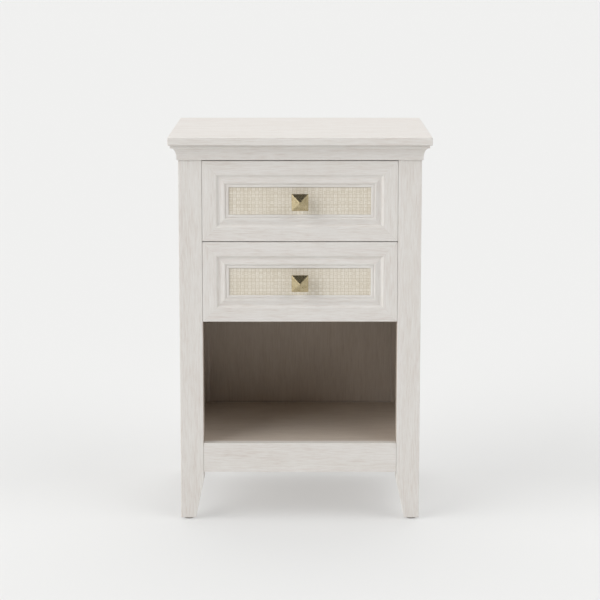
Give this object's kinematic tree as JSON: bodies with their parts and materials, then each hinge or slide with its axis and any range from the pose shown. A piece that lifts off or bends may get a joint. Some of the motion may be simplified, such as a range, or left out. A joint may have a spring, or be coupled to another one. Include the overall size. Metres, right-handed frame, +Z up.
{
  "type": "nightstand with drawers",
  "caption": "Square-post nightstand with inset cane-fronted drawers on side slides over an open shelf bay, with a cove cornice and tapered feet.",
  "frame": {"origin": "on the floor, under the middle of the nightstand's box, knobs included", "axes": "+Z up, +X to the right of someone who looks at the front, -Y out of the front, the way the drawers open"},
  "size_m": [0.45, 0.411, 0.672],
  "materials": {
    "washed_oak": "whitewashed open-grain oak, matt lacquer",
    "inside_oak": "darker washed oak veneer, matt",
    "drawer_wood": "pale plywood and board, satin lacquer",
    "woven_cane": "square-woven natural cane, uncoated",
    "antique_brass": "antique brass, satin",
    "zinc_steel": "zinc-plated cold-rolled steel",
    "glide_plastic": "moulded grey nylon"
  },
  "bodies": {
    "case": {"top_panel": "washed_oak", "cornice_front": "washed_oak", "cornice_left": "washed_oak", "cornice_right": "washed_oak", "cornice_rear": "washed_oak", "post_front_left": "washed_oak", "post_front_right": "washed_oak", "post_rear_left": "washed_oak", "post_rear_right": "washed_oak", "side_panel_left": "washed_oak", "side_panel_right": "washed_oak", "apron": "washed_oak", "rear_rail": "washed_oak", "glide_front_left": "glide_plastic", "glide_front_right": "glide_plastic", "glide_rear_left": "glide_plastic", "glide_rear_right": "glide_plastic", "back_panel": "inside_oak", "shelf_panel": "inside_oak", "divider_panel": "inside_oak", "runner_board_left": "inside_oak", "runner_board_right": "inside_oak", "slide_upper_left_outer": "zinc_steel", "slide_upper_right_outer": "zinc_steel", "slide_lower_left_outer": "zinc_steel", "slide_lower_right_outer": "zinc_steel"},
    "upper_drawer": {"drawer_upper_rail_top": "washed_oak", "drawer_upper_rail_bottom": "washed_oak", "drawer_upper_stile_left": "washed_oak", "drawer_upper_stile_right": "washed_oak", "drawer_upper_cane": "woven_cane", "drawer_upper_box_front": "drawer_wood", "drawer_upper_box_side_left": "drawer_wood", "drawer_upper_box_side_right": "drawer_wood", "drawer_upper_box_back": "drawer_wood", "drawer_upper_box_bottom": "drawer_wood", "drawer_upper_knob": "antique_brass", "drawer_upper_knob_screw": "zinc_steel", "slide_upper_left_inner": "zinc_steel", "slide_upper_right_inner": "zinc_steel"},
    "upper_slide_stage": {"slide_upper_left_middle": "zinc_steel", "slide_upper_right_middle": "zinc_steel"},
    "lower_drawer": {"drawer_lower_rail_top": "washed_oak", "drawer_lower_rail_bottom": "washed_oak", "drawer_lower_stile_left": "washed_oak", "drawer_lower_stile_right": "washed_oak", "drawer_lower_cane": "woven_cane", "drawer_lower_box_front": "drawer_wood", "drawer_lower_box_side_left": "drawer_wood", "drawer_lower_box_side_right": "drawer_wood", "drawer_lower_box_back": "drawer_wood", "drawer_lower_box_bottom": "drawer_wood", "drawer_lower_knob": "antique_brass", "drawer_lower_knob_screw": "zinc_steel", "slide_lower_left_inner": "zinc_steel", "slide_lower_right_inner": "zinc_steel"},
    "lower_slide_stage": {"slide_lower_left_middle": "zinc_steel", "slide_lower_right_middle": "zinc_steel"}
  },
  "joints": [
    {"name": "upper_drawer_slide", "type": "slide", "parent": "case", "child": "upper_drawer", "axis": [0, -1, 0], "range_m": [0, 0.28]},
    {"name": "upper_stage_slide", "type": "slide", "parent": "case", "child": "upper_slide_stage", "axis": [0, -1, 0], "range_m": [0, 0.14]},
    {"name": "lower_drawer_slide", "type": "slide", "parent": "case", "child": "lower_drawer", "axis": [0, -1, 0], "range_m": [0, 0.28]},
    {"name": "lower_stage_slide", "type": "slide", "parent": "case", "child": "lower_slide_stage", "axis": [0, -1, 0], "range_m": [0, 0.14]}
  ],
  "couplings": [
    {"joint": "upper_stage_slide", "follows": "upper_drawer_slide", "ratio": 0.5},
    {"joint": "lower_stage_slide", "follows": "lower_drawer_slide", "ratio": 0.5}
  ]
}
